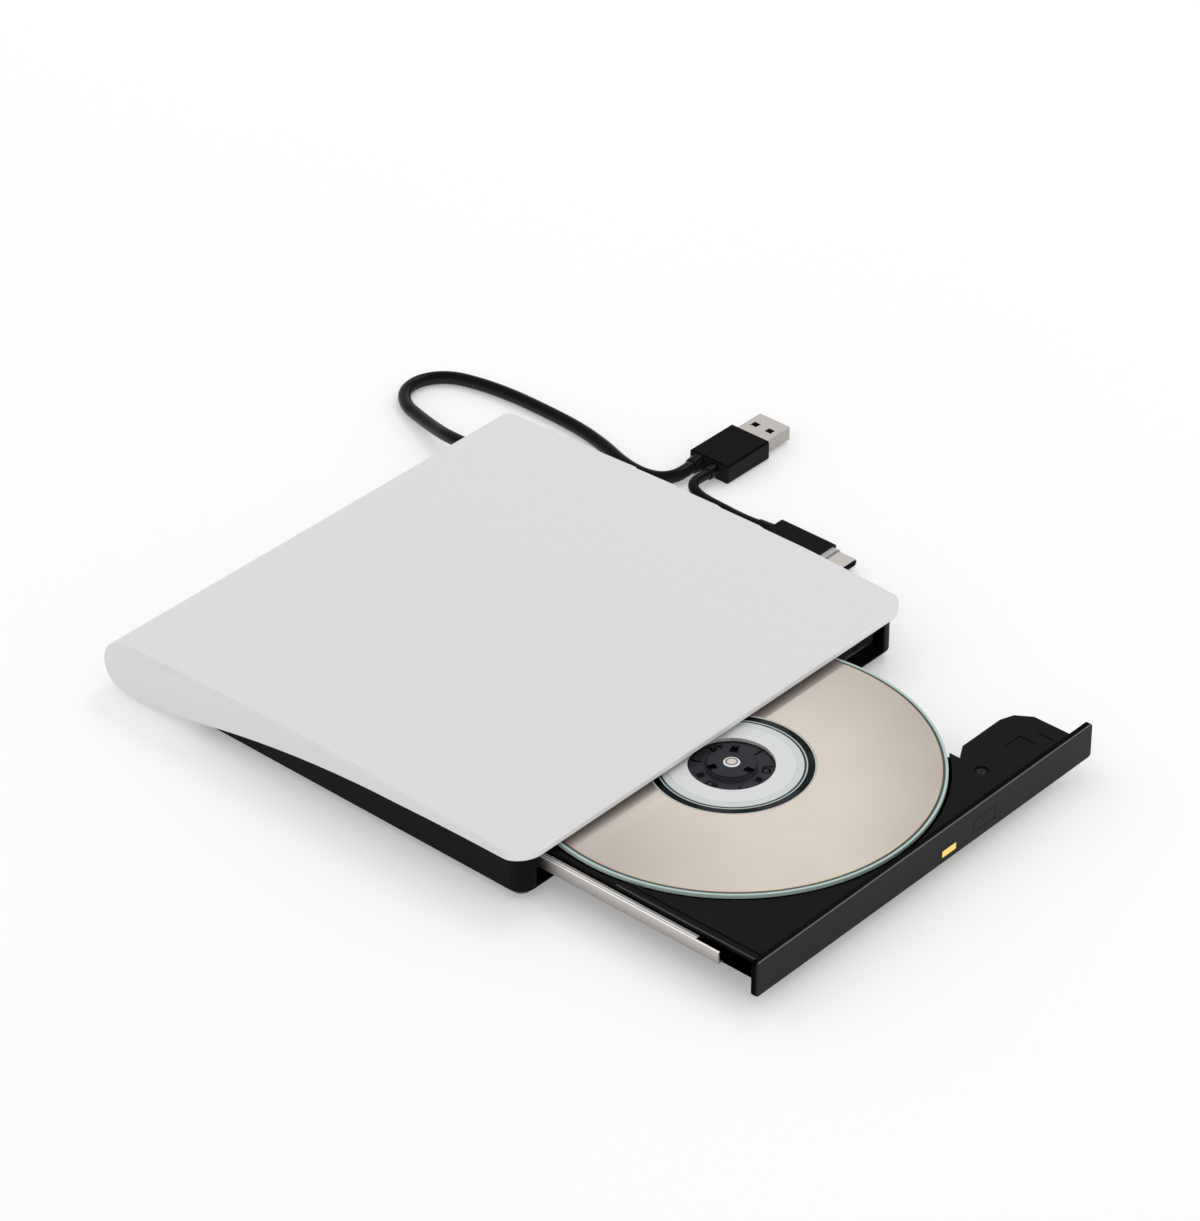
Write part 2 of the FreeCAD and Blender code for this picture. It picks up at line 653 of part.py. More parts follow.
def sled_follower():
    """Toothed arm that rides in the screw's thread."""
    arm = box(SCREW_X - 1.2, ROD_LEFT - 2, -39.0, -35.5, 9.55, 10.0)
    root = box(ROD_LEFT - 2.6, ROD_LEFT - 2, -39.0, -35.5, 6.9, 9.55)
    return joined([arm, root])


def lead_screw():
    """Threaded shaft, its thread drawn as close rings."""
    shaft = rod_at(SCREW_X, SCREW_R, -44.5, 8.0)
    first_ring = -42.0
    rings = [rod_at(SCREW_X, 1.0, y, y + SCREW_PITCH / 2)
             for y in (first_ring + index * SCREW_PITCH for index in range(15))]
    return joined([shaft] + rings)


def sled_motor():
    can = rod_at(SCREW_X, 2.15, 5.5, 16.5)
    pole = box(SCREW_X - 2.8, SCREW_X - 1.6, 8.0, 14.0, 7.2, 9.6)
    return joined([can, pole]).cut(rod_at(SCREW_X, SCREW_BORE_R, 5.0, 9.0))


def sled_motor_bracket():
    strip = box(SCREW_X - 2.2, SCREW_X + 1.6, -46.5, 5.5, PLATE_LOW + SHEET, 6.7)
    rear = box(SCREW_X - 2.2, SCREW_X + 1.6, 4.9, 5.5, PLATE_LOW + SHEET, 10.4)
    front = box(SCREW_X - 2.2, SCREW_X + 1.6, -46.5, -44.0, PLATE_LOW + SHEET, 10.0)
    return joined([strip, rear, front]).cut(rod_at(SCREW_X, SCREW_BORE_R, -44.8, 6.0))


def lens_holder():
    block = box(DISC_X - 4, DISC_X + 4, LENS_Y - 3.5, LENS_Y + 3.5, 8.7, 10.9)
    block = block.makeFillet(0.8, edges_along(block, "z"))
    return block.cut(cyl(DISC_X, LENS_Y, 8.0, 12.0, 1.9))


def objective_lens():
    barrel = cyl(DISC_X, LENS_Y, 9.4, 10.9, 1.9)
    dome = Part.makeSphere(3.2, V(DISC_X, LENS_Y, 8.25)).common(cyl(DISC_X, LENS_Y, 10.9, 12.0, 1.9))
    return joined([barrel, dome])


# Latch

TAIL = 4.5
PLUNGER_Z = 8.2


def latch_hook():
    z0, z1 = 7.1, 8.7
    x, y = LATCH_X, LATCH_Y
    arm = box(x - 1.0, x + 1.0, y, y + LATCH_REACH, z0, z1)
    tooth = upright([(x - 1.0, y + LATCH_REACH - 1.0), (x - 3.4, y + LATCH_REACH - 1.0),
                     (x - 1.0, y + LATCH_REACH + 1.6), (x + 1.0, y + LATCH_REACH + 1.6),
                     (x + 1.0, y + LATCH_REACH - 1.0)], z0, z1)
    tail = box(x - TAIL - 1.0, x, y - 0.9, y + 0.9, z0, z1)
    eye = cyl(x, y, z0, z1, 2.2)
    return joined([arm, tooth, tail, eye]).cut(cyl(x, y, 0, 20, 1.26))


def latch_solenoid():
    x = LATCH_X - TAIL
    body = box(x - 3.2, x + 1.8, -105.2, -99.4, 7.0, WING_UNDER)
    bore = cyl_along(V(0, 1, 0), V(x - 0.6, -106, PLUNGER_Z), V(x - 0.6, -100, PLUNGER_Z), 0.95)
    return body.cut(bore)


def solenoid_plunger():
    x = LATCH_X - TAIL - 0.6
    return cyl_along(V(0, 1, 0), V(x, LATCH_Y + 0.9 + 0.25, PLUNGER_Z), V(x, -101.4, PLUNGER_Z), 0.9)


def tray_screws():
    spots = [(-64.5, -110.5), (29.5, -110.5), (-64.5, 18.5), (29.5, 18.5)]
    heads = [cyl(x, y, PLATE_LOW - 0.25, PLATE_LOW, 1.3) for x, y in spots]
    x, y = WING_SCREW
    top = cyl(x, y, WING_UNDER + 0.6, TRAY_TOP - 0.5, 1.3)
    groove = box(x - 0.8, x + 0.8, y - 0.15, y + 0.15, TRAY_TOP - 0.9, TRAY_TOP)
    return Part.makeCompound(heads + [top.cut(groove)])


# Rails between the tray and the casing

def left_rail():
    y0, y1 = RAIL_FRONT, RAIL_FRONT + RAIL_LENGTH
    web = box(LEFT_WEB, LEFT_WEB + RAIL_T, y0, y1, RAIL_LOW, RAIL_HIGH)
    top = box(LEFT_WEB, TRAY_LEFT - GAP, y0 + 8.5, y1, RAIL_HIGH - RAIL_T, RAIL_HIGH)
    low = box(LEFT_WEB, TRAY_LEFT - GAP, y0, y1, RAIL_LOW, RAIL_LOW + RAIL_T)
    return joined([web, top, low])


def right_rail():
    y0, y1 = RAIL_FRONT, RAIL_FRONT + RAIL_LENGTH
    web = box(RIGHT_WEB - RAIL_T, RIGHT_WEB, y0, y1, RIGHT_LOW, RIGHT_HIGH)
    top = box(33.4, RIGHT_WEB, y0, y1, RIGHT_HIGH - RAIL_T, RIGHT_HIGH)
    low = box(33.4, RIGHT_WEB, y0, y1, RIGHT_LOW, RIGHT_LOW + RAIL_T)
    return joined([web, top, low])


# Cords and plugs

SLEEVE_END = PLUG_A_REAR - 3.2
MAIN_SLEEVE = (65.6, 3.3)       # y and z of the two sleeves on the larger plug
SHORT_SLEEVE = (59.1, 3.3)
EXIT_END = 122.0
SHORT_END = 29.6

MAIN_ROUTE = [
    (CORD_X, EXIT_END, CORD_Z), (72.4, 128.3, 7.2), (75.9, 138.0, 4.8), (79.5, 147.8, 3.1),
    (82.7, 157.2, 2.2), (88.7, 163.7, 2.15), (97.2, 164.3, 2.15), (104.6, 158.7, 2.15), (107.7, 148.5, 2.15),
    (109.3, 136.5, 2.15), (109.4, 122.0, 2.15), (108.8, 107.5, 2.15), (106.4, 95.0, 2.15),
    (102.9, 84.5, 2.15), (101.8, 76.4, 2.15), (102.9, 70.2, 2.3), (105.8, 66.7, 2.7), (109.6, 65.4, 3.1),
    (SLEEVE_END, *MAIN_SLEEVE),
]
SHORT_ROUTE = [
    (SLEEVE_END, *SHORT_SLEEVE), (110.6, 59.4, 3.3), (108.0, 59.4, 3.1), (105.9, 58.2, 2.7),
    (104.7, 55.4, 2.2), (104.2, 51.2, 1.75), (104.0, 45.6, 1.75), (103.7, 39.5, 1.75), (103.3, 34.2, 2.1),
    (PLUG_C_X, SHORT_END, PLUG_C_Z),
]


def cord_path(route):
    """Straight runs joined by tangent arcs, each as large as its two runs allow."""
    points = [V(*p) for p in route]
    edges = []
    radii = []
    here = points[0]
    for before, corner, after in zip(points, points[1:], points[2:]):
        to_before = (before - corner).normalize()
        to_after = (after - corner).normalize()
        shorter = min(before.distanceToPoint(corner), after.distanceToPoint(corner))
        half_turn = (math.pi - to_before.getAngle(to_after)) / 2
        trim = 0.45 * shorter
        radius = trim / math.tan(half_turn)
        radii.append(radius)
        start = corner + to_before * trim
        end = corner + to_after * trim
        inward = (to_before + to_after).normalize()
        centre = corner + inward * (radius / math.cos(half_turn))
        middle = centre - inward * radius
        edges.append(Part.LineSegment(here, start).toShape())
        edges.append(Part.Arc(start, middle, end).toShape())
        here = end
    edges.append(Part.LineSegment(here, points[-1]).toShape())
    return Part.Wire(edges), radii


def cord(name, route, diameter):
    path, radii = cord_path(route)
    start = V(*route[0])
    direction = (V(*route[1]) - start).normalize()
    ring = Part.Wire([Part.makeCircle(diameter / 2, start, direction)])
    tube = path.makePipeShell([ring], True, False)
    share = tube.Volume / (math.pi * diameter ** 2 / 4 * path.Length)
    listed = ", ".join(f"{radius:.1f}" for radius in radii)
    print(f"{name}: length {path.Length:.1f}, volume / (section x length) {share:.4f}, radii {listed}")
    return tube


def main_cord():
    return cord("main_cord", MAIN_ROUTE, CORD_D)


def short_cord():
    return cord("short_cord", SHORT_ROUTE, SHORT_CORD_D)


def cord_grommet():
    """Strain relief: a plug in the lid's hole and a short tapered collar."""
    plug = along_cord_exit(GROMMET_REAR, CASE_REAR + 0.1, GROMMET_R)
    collar = cone_along(V(CORD_X, CASE_REAR + 0.05, CORD_Z), V(CORD_X, EXIT_END, CORD_Z), GROMMET_R, 2.3)
    return joined([plug, collar])


PLUG_A = (PLUG_A_REAR, 136.5, 53.6, 69.2, 0.0, 6.6)
PLUG_A_Z = 3.3
PLUG_A_Y = 61.4


def cord_sleeves():
    """The two sleeves at the rear of the larger plug."""
    sleeves = []
    for (y, z), end_r, root_r in ((MAIN_SLEEVE, 2.5, 3.0), (SHORT_SLEEVE, 2.0, 2.3)):
        sleeves.append(cone_along(V(SLEEVE_END, y, z), V(PLUG_A_REAR, y, z), end_r, root_r))
    return Part.makeCompound(sleeves)


def usb_a_housing():
    block = box(*PLUG_A)
    block = block.makeFillet(0.9, edges_along(block, "x"))
    face = [e for e in block.Edges if e.BoundBox.XMax < PLUG_A_REAR + 1e-6]
    return block.makeFillet(0.6, face)


def usb_a_shell():
    end = PLUG_A[1] + 12.0
    outer = box(PLUG_A[1], end, PLUG_A_Y - 6.0, PLUG_A_Y + 6.0, PLUG_A_Z - 2.25, PLUG_A_Z + 2.25)
    inner = box(PLUG_A[1] - 1, end + 1, PLUG_A_Y - 5.7, PLUG_A_Y + 5.7, PLUG_A_Z - 1.95, PLUG_A_Z + 1.95)
    windows = [box(end - 7.0, end - 4.8, PLUG_A_Y + y - 1.2, PLUG_A_Y + y + 1.2, 0, 9) for y in (-2.9, 2.9)]
    return outer.cut([inner] + windows)


def usb_a_tongue():
    end = PLUG_A[1] + 11.6
    return box(PLUG_A[1], end, PLUG_A_Y - 5.6, PLUG_A_Y + 5.6, PLUG_A_Z - 1.95, PLUG_A_Z - 0.05)


PLUG_C_FRONT, PLUG_C_BACK = 3.6, 24.0
COLLAR_END = 1.6


def flat_oval(width, height, y0, y1, x, z):
    """A bar of flat section with round edges, along y."""
    block = box(x - width / 2, x + width / 2, y0, y1, z - height / 2, z + height / 2)
    return block.makeFillet(height * 0.49, edges_along(block, "y"))


def usb_c_housing():
    block = box(PLUG_C_X - 5.0, PLUG_C_X + 5.0, PLUG_C_FRONT, PLUG_C_BACK, 0.0, 2 * PLUG_C_Z)
    return block.makeFillet(1.3, edges_along(block, "y"))


def usb_c_sleeve():
    return cone_along(V(PLUG_C_X, SHORT_END, PLUG_C_Z), V(PLUG_C_X, PLUG_C_BACK, PLUG_C_Z), 2.0, 2.4)


def usb_c_collar():
    return flat_oval(9.2, 3.6, COLLAR_END, PLUG_C_FRONT, PLUG_C_X, PLUG_C_Z)


def usb_c_shell():
    end = COLLAR_END - 6.65
    outer = flat_oval(8.34, 2.56, end, COLLAR_END, PLUG_C_X, PLUG_C_Z)
    inner = flat_oval(7.74, 1.96, end - 1, COLLAR_END - 0.6, PLUG_C_X, PLUG_C_Z)
    tongue = box(PLUG_C_X - 3.3, PLUG_C_X + 3.3, end + 4.0, COLLAR_END, PLUG_C_Z - 0.35, PLUG_C_Z + 0.35)
    return joined([outer.cut(inner), tongue])


for make in (top_cover, base_cover, rubber_feet, base_screws, drive_bottom_shell, drive_top_shell,
             drive_shell_screws, left_rail_guide, right_rail_guide, main_board, main_board_chips,
             drive_connector, bridge_board, latch_post, ejector_bracket, ejector_rod, ejector_spring,
             tray, bezel, led_window, eject_button, traverse_plate, tray_board, tray_board_chips,
             eject_switch, status_lamp, ribbon_cable, spindle_stator, turntable, turntable_ring,
             hub_claws, centre_pin, disc, guide_rods, rod_clamps, pickup_sled, laser_unit,
             sled_follower, lead_screw, sled_motor, sled_motor_bracket, lens_holder, objective_lens,
             latch_hook, latch_solenoid, solenoid_plunger, tray_screws, left_rail, right_rail,
             cord_grommet, usb_a_housing, usb_a_shell, usb_a_tongue, usb_c_housing, usb_c_sleeve,
             usb_c_collar, usb_c_shell, main_cord, short_cord, cord_sleeves):
    write(make.__name__, make())
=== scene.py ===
import math

import bpy
from mathutils import Matrix, Vector


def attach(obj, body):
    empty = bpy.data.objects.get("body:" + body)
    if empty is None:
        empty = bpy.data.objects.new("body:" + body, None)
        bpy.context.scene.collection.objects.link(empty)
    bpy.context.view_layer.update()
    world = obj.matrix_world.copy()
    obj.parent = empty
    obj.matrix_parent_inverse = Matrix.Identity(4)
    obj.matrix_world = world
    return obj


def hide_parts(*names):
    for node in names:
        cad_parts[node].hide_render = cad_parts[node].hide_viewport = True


# External disc drive with its tray partly out, and its cord with two plugs.
# Sizes are in millimetres and become metres through MM, unless a comment says metres.
# X runs to the right seen from the front, Y to the rear, Z up from the surface it stands on.

MM = 0.001
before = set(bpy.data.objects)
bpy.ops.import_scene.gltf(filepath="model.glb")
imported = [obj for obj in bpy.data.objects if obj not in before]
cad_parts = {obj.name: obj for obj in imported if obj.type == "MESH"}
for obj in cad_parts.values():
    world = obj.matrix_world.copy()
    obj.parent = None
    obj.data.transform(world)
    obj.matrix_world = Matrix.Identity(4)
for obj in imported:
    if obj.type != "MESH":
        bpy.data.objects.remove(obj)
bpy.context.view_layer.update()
scene = bpy.context.scene

IMAGE_W, IMAGE_H = 1200, 1221
FOCAL_PX = 4912.3
AZIMUTH, ELEVATION, ROLL = math.radians(-48.14), math.radians(34.14), math.radians(-0.18)
TARGET = Vector((40.03, 37.37, 0.0)) * MM
DISTANCE = 1448.4 * MM

CORD_D, SHORT_CORD_D = 4.2, 3.3
CORD_EXIT = (72.0, 122.0, 7.8)
SLEEVE_END = 113.8                  # X where both cords meet their sleeves on the larger plug
MAIN_SLEEVE = (65.6, 3.3)           # Y and Z there
SHORT_SLEEVE = (59.1, 3.3)
SHORT_PLUG_REAR = (103.3, 29.6, 2.5)

MAIN_ROUTE = [
    CORD_EXIT, (72.4, 128.3, 7.2), (75.9, 138.0, 4.8), (79.5, 147.8, 3.1), (82.7, 157.2, 2.2),
    (88.7, 163.7, 2.15), (97.2, 164.3, 2.15), (104.6, 158.7, 2.15), (107.7, 148.5, 2.15),
    (109.3, 136.5, 2.15), (109.4, 122.0, 2.15), (108.8, 107.5, 2.15), (106.4, 95.0, 2.15),
    (102.9, 84.5, 2.15), (101.8, 76.4, 2.15), (102.9, 70.2, 2.3), (105.8, 66.7, 2.7), (109.6, 65.4, 3.1),
    (SLEEVE_END, *MAIN_SLEEVE),
]
SHORT_ROUTE = [
    (SLEEVE_END, *SHORT_SLEEVE), (110.6, 59.4, 3.3), (108.0, 59.4, 3.1), (105.9, 58.2, 2.7),
    (104.7, 55.4, 2.2), (104.2, 51.2, 1.75), (104.0, 45.6, 1.75), (103.7, 39.5, 1.75), (103.3, 34.2, 2.1),
    SHORT_PLUG_REAR,
]

DISC_X, DISC_Y = -7.5, -54.0
DISC_LOW, DISC_HIGH = 12.8, 14.0
DISC_HOLE_R = 7.5
WINDOW_R = 12.3                     # clear middle, through which the turntable shows
CLAMP_R = 18.1                      # frosted clamping ring, in two steps
FROST_R = 20.2
SEAM_R = 20.8
LIP_R = 21.2
MIRROR_R = 23.2                     # dark mirror band
FRINGE_R = 23.7
PRINT_R = 58.5                      # gold print
EDGE_R = 59.2
DISC_R = 60.0
DISC_STEPS = 192
PAINTED_STREAK = (-0.99, 0.13)              # the way the disc's painted reflection streak points

HUB_R, HUB_TOP = 7.3, 14.5
PLATE_TOP = 12.6                    # top of the turntable's plate, under the disc
PIN_GROOVE_R, PIN_RIM_R = 1.35, 1.85
WELL_FLOOR = 11.6
TRAY_LEFT, TRAY_TOP = -69.3, 13.2
RIDGE_HIGHLIGHT_REAR = -66.0                  # rear end of the painted highlight along the tray's left edge
WING_CORNER = (42.3, -96.0)         # rear left corner of the tray's wing
WING_INNER_X = 37.6
WING_SLOPE = 0.6                    # how far the wing's step runs back for each millimetre across
RAIL_LOW, RAIL_HIGH = 7.7, 11.5
RAIL_HIGHLIGHT_LINES = (-71.4, -70.9, -70.5)  # first painted highlight line's inner edge, and both edges of the second
BEZEL_FRONT, BEZEL_HIGH = -118.4, 15.4
BASE_RIM_HIGHLIGHT = (2.2, 2.7)               # heights over which the painted highlight on the base's lower rim gives way to black
LID_WEAVE = 1.0                     # width of one square of the lid's weave

FLOOR_SIZE, FLOOR_DROP = 8.0, 0.00005       # in metres
LAMP_AIM = (0.02, 0.0, 0.0)
# Each lamp's name, place and width in metres, and power in watts
SHEEN_LAMP = ("sheen", (1.233, 0.925, 1.206), 0.15, 0.3)
KEY_LAMP = ("key", (1.1, 0.2, 1.7), 0.6, 4.2)


def linear(red, green, blue):
    """A colour written in 8-bit sRGB, as the shader sockets take it."""
    values = []
    for value in (red, green, blue):
        share = value / 255
        values.append(share / 12.92 if share <= 0.04045 else ((share + 0.055) / 1.055) ** 2.4)
    return (*values, 1.0)


def look():
    """The photograph's view."""
    back = Vector((math.sin(AZIMUTH) * math.cos(ELEVATION), -math.cos(AZIMUTH) * math.cos(ELEVATION),
                   math.sin(ELEVATION)))
    right = Vector((0, 0, 1)).cross(back).normalized()
    up = back.cross(right)
    right, up = right * math.cos(ROLL) + up * math.sin(ROLL), up * math.cos(ROLL) - right * math.sin(ROLL)
    data = bpy.data.cameras.new("camera")
    data.sensor_width = 36.0
    data.lens = FOCAL_PX / max(IMAGE_W, IMAGE_H) * data.sensor_width
    data.clip_start, data.clip_end = 0.05, 20.0
    camera = bpy.data.objects.new("camera", data)
    place = Matrix((right, up, back)).transposed().to_4x4()
    place.translation = TARGET + back * DISTANCE
    camera.matrix_world = place
    scene.collection.objects.link(camera)
    scene.camera = camera


# Materials

class Shader:
    """A node material with a few shorthand calls."""

    def __init__(self, name):
        self.material = bpy.data.materials.new(name)
        self.material.use_nodes = True
        self.tree = self.material.node_tree
        self.main = self.tree.nodes["Principled BSDF"]
        self.place = self.node("ShaderNodeTexCoord").outputs["Object"]

    def node(self, kind, **settings):
        made = self.tree.nodes.new(kind)
        for name, value in settings.items():
            setattr(made, name, value)
        return made

    def link(self, source, target):
        self.tree.links.new(source, target)

    def set(self, **values):
        for name, value in values.items():
            self.main.inputs[name.replace("_", " ")].default_value = value

    def noise(self, size_mm, detail=3.0, stretch=(1, 1, 1)):
        """Noise with blotches of about that size."""
        mapping = self.node("ShaderNodeMapping")
        mapping.inputs["Scale"].default_value = stretch
        self.link(self.place, mapping.inputs["Vector"])
        texture = self.node("ShaderNodeTexNoise")
        texture.inputs["Scale"].default_value = 1 / (size_mm * MM)
        texture.inputs["Detail"].default_value = detail
        self.link(mapping.outputs["Vector"], texture.inputs["Vector"])
        return texture.outputs["Fac"]

    def map_range(self, value, **limits):
        """A number moved from one span to another; each span is 0 to 1 unless named."""
        node = self.node("ShaderNodeMapRange")
        for name, limit in limits.items():
            node.inputs[name.replace("_", " ")].default_value = limit
        self.link(value, node.inputs["Value"])
        return node.outputs["Result"]

    def between(self, factor, low, high):
        """A number from low to high as a 0 to 1 factor moves."""
        return self.map_range(factor, To_Min=low, To_Max=high)

    def math(self, operation, first, second=None):
        """A sum on one or two values, each written or linked."""
        node = self.node("ShaderNodeMath", operation=operation)
        for value, socket in zip((first, second), node.inputs):
            if value is None:
                continue
            if isinstance(value, (int, float)):
                socket.default_value = value
            else:
                self.link(value, socket)
        return node.outputs["Value"]

    def mix(self, factor, low, high):
        """A colour between two colours, each written or linked."""
        node = self.node("ShaderNodeMix", data_type="RGBA")
        self.link(factor, node.inputs["Factor"])
        for value, socket in ((low, node.inputs[6]), (high, node.inputs[7])):
            if isinstance(value, tuple):
                socket.default_value = value
            else:
                self.link(value, socket)
        return node.outputs[2]

    def above(self, value, level_mm):
        """1 where a length is over the level, 0 below it."""
        return self.math("GREATER_THAN", value, level_mm * MM)

    def below(self, value, level_mm):
        """1 where a length is under the level, 0 above it."""
        return self.math("LESS_THAN", value, level_mm * MM)

    def both(self, first, second):
        """1 where both masks are 1."""
        return self.math("MULTIPLY", first, second)

    def either(self, first, second):
        """1 where at least one of the masks is 1."""
        return self.math("MAXIMUM", first, second)

    def colour(self, value):
        """Use a colour as the surface's own."""
        self.link(value, self.main.inputs["Base Color"])

    def rough(self, factor, low, high):
        """Let the roughness move from low to high with a 0 to 1 factor."""
        self.link(self.between(factor, low, high), self.main.inputs["Roughness"])

    def parts(self):
        """X, Y and Z of the place on the piece."""
        split = self.node("ShaderNodeSeparateXYZ")
        self.link(self.place, split.inputs["Vector"])
        return split.outputs

    def ramp(self, value, zero_mm, one_mm):
        """A length turned into 0 to 1 between two levels."""
        return self.map_range(value, From_Min=zero_mm * MM, From_Max=one_mm * MM)

    def slope(self, axis, zero, one):
        """0 to 1 as the surface's direction along an axis moves between two values."""
        split = self.node("ShaderNodeSeparateXYZ")
        self.link(self.node("ShaderNodeNewGeometry").outputs["Normal"], split.inputs["Vector"])
        return self.map_range(split.outputs[axis], From_Min=zero, From_Max=one)

    def from_axis(self):
        """Distance from the disc's axis."""
        parts = self.parts()
        squares = []
        for value, middle in ((parts["X"], DISC_X), (parts["Y"], DISC_Y)):
            away = self.math("SUBTRACT", value, middle * MM)
            squares.append(self.math("MULTIPLY", away, away))
        return self.math("SQRT", self.math("ADD", *squares))

    def painted_streak_turn(self):
        """0 to 1 as the way out from the disc's axis turns towards its painted reflection streak."""
        along = []
        for axis, middle, share in zip("XY", (DISC_X, DISC_Y), PAINTED_STREAK):
            away = self.math("SUBTRACT", self.parts()[axis], middle * MM)
            along.append(self.math("MULTIPLY", away, share))
        turn = self.math("DIVIDE", self.math("ADD", *along), self.from_axis())
        return self.math("MAXIMUM", turn, 0.0)

    def bump(self, height, depth_mm, strength=1.0):
        node = self.node("ShaderNodeBump")
        node.inputs["Strength"].default_value = strength
        node.inputs["Distance"].default_value = depth_mm * MM
        self.link(height, node.inputs["Height"])
        self.link(node.outputs["Normal"], self.main.inputs["Normal"])


def shades(colour, spread):
    """The same colour a little darker and a little lighter."""
    low = tuple(value * (1 - spread) for value in colour[:3]) + (1.0,)
    high = tuple(min(1.0, value * (1 + spread)) for value in colour[:3]) + (1.0,)
    return low, high


def plastic(name, colour, roughness, gloss=0.3, grain_mm=0.35, depth_mm=0.004, spread=0.08):
    """Moulded plastic: a fine grain, faint cloudiness, and gloss that wanders slightly."""
    shader = Shader(name)
    shader.colour(shader.mix(shader.noise(9.0), *shades(colour, spread)))
    shader.rough(shader.noise(3.0), roughness * 0.85, roughness * 1.15)
    shader.bump(shader.noise(grain_mm, 2.0), depth_mm)
    shader.set(Specular_IOR_Level=gloss)
    return shader.material


def sides_painted_lighter(name, top, side, roughness, gloss):
    """Glossy black plastic, deep black on top, with painted light on its sides: the colour turns lighter as
    the surface faces sideways.
    """
    shader = Shader(name)
    # painted light: the colour goes from the top's to the lighter side's as the surface turns from up to
    # sideways
    shader.colour(shader.mix(shader.slope("Z", 0.6, 0.15), top, side))
    shader.rough(shader.noise(3.0), roughness * 0.85, roughness * 1.15)
    shader.bump(shader.noise(0.5, 2.0), 0.0006)
    shader.set(Specular_IOR_Level=gloss)
    return shader.material


def metal(name, colour, roughness, along=(1, 1, 1), depth_mm=0.002):
    """Metal with drawn lines where one stretch is smaller than the others."""
    shader = Shader(name)
    lines = shader.noise(0.5, 4.0, along)
    shader.colour(shader.mix(lines, *shades(colour, 0.12)))
    shader.rough(lines, roughness * 0.8, roughness * 1.3)
    shader.bump(lines, depth_mm)
    shader.set(Metallic=1.0)
    return shader.material


def lid_material():
    """White plastic pressed with a fine square weave, and a painted highlight that makes it lighter along its
    front edge.
    """
    shader = Shader("lid_white")
    waves = []
    for direction in "XY":
        wave = shader.node("ShaderNodeTexWave", bands_direction=direction)
        wave.inputs["Scale"].default_value = 2 * math.pi / 20 / (LID_WEAVE * MM)
        shader.link(shader.place, wave.inputs["Vector"])
        waves.append(wave.outputs["Fac"])
    weave = shader.math("MULTIPLY", *waves)
    low, high = shades(linear(218, 218, 220), 0.03)
    # painted highlight: surfaces that face the front are made lighter
    front_edge_highlight = shader.slope("Y", -0.3, -0.75)
    shader.colour(shader.mix(front_edge_highlight, shader.mix(weave, high, low), linear(234, 234, 235)))
    shader.rough(shader.noise(12.0), 0.42, 0.5)
    shader.bump(weave, 0.012, 0.5)
    shader.set(Specular_IOR_Level=0.15)
    return shader.material


def disc_print_material():
    """Gold-beige print over a mirror layer, with a painted reflection streak and faint colours painted as
    coloured highlights along both rims.
    """
    shader = Shader("disc_print")
    gold = shader.mix(shader.noise(26.0, 1.0), linear(158, 150, 142), linear(170, 163, 155))
    turn = shader.painted_streak_turn()
    # painted reflection: the print is lighter where the way out from the axis points along the streak
    wide_painted_sheen = shader.math("MULTIPLY", shader.math("POWER", turn, 9.0), 0.25)
    narrow_painted_sheen = shader.math("MULTIPLY", shader.math("POWER", turn, 240.0), 0.2)
    gold = shader.mix(shader.math("ADD", wide_painted_sheen, narrow_painted_sheen), gold, linear(208, 199, 190))
    # painted highlights: faint pink and yellow-green colours near both rims of the print
    rim_highlight_tint = shader.mix(shader.between(shader.noise(16.0, 0.0), -1.5, 2.5), linear(190, 140, 138),
                      linear(176, 168, 130))
    radius = shader.from_axis()
    rim_highlights = shader.either(shader.ramp(radius, PRINT_R - 1.4, PRINT_R),
                         shader.ramp(radius, FRINGE_R + 1.0, FRINGE_R))
    shader.colour(shader.mix(shader.between(rim_highlights, 0.0, 0.55), gold, rim_highlight_tint))
    shader.rough(shader.noise(2.0), 0.18, 0.21)
    tangent = shader.node("ShaderNodeTangent", direction_type="RADIAL", axis="Z")
    shader.link(tangent.outputs["Tangent"], shader.main.inputs["Tangent"])
    shader.set(Metallic=0.6, Anisotropic=0.5, Specular_IOR_Level=0.1)
    return shader.material


def disc_mirror_material():
    """Bare mirror band, painted dark with faint clouds of grey and purple as its painted reflection."""
    shader = Shader("disc_mirror")
    # painted reflection: grey and purple clouds on dark stand for what the mirror reflects
    reflection_clouds = shader.between(shader.noise(9.0, 0.0), -1.2, 1.6)
    shader.colour(shader.mix(reflection_clouds, linear(3, 7, 8), linear(46, 44, 48)))
    shader.rough(shader.noise(3.0), 0.15, 0.3)
    shader.set(Specular_IOR_Level=0.03)
    return shader.material


def window_material():
    """Thin clear plastic that only dims what lies under it a little."""
    shader = Shader("disc_window")
    shader.colour(shader.mix(shader.noise(5.0), linear(50, 54, 54), linear(58, 62, 62)))
    shader.set(Alpha=0.06, Roughness=0.1, Specular_IOR_Level=0.05)
    return shader.material


def lens_material():
    """Clear bluish glass."""
    shader = Shader("lens_glass")
    shader.colour(shader.mix(shader.noise(5.0), *shades(linear(190, 200, 228), 0.02)))
    shader.set(Transmission_Weight=1.0, Roughness=0.02, IOR=1.12, Specular_IOR_Level=0.0)
    return shader.material


def lamp_material():
    """Amber lamp window with a weak glow."""
    shader = Shader("lamp_amber")
    shader.colour(shader.mix(shader.noise(1.5), linear(238, 190, 66), linear(255, 226, 132)))
    shader.set(Roughness=0.35, Emission_Color=linear(250, 204, 90), Emission_Strength=0.25)
    return shader.material


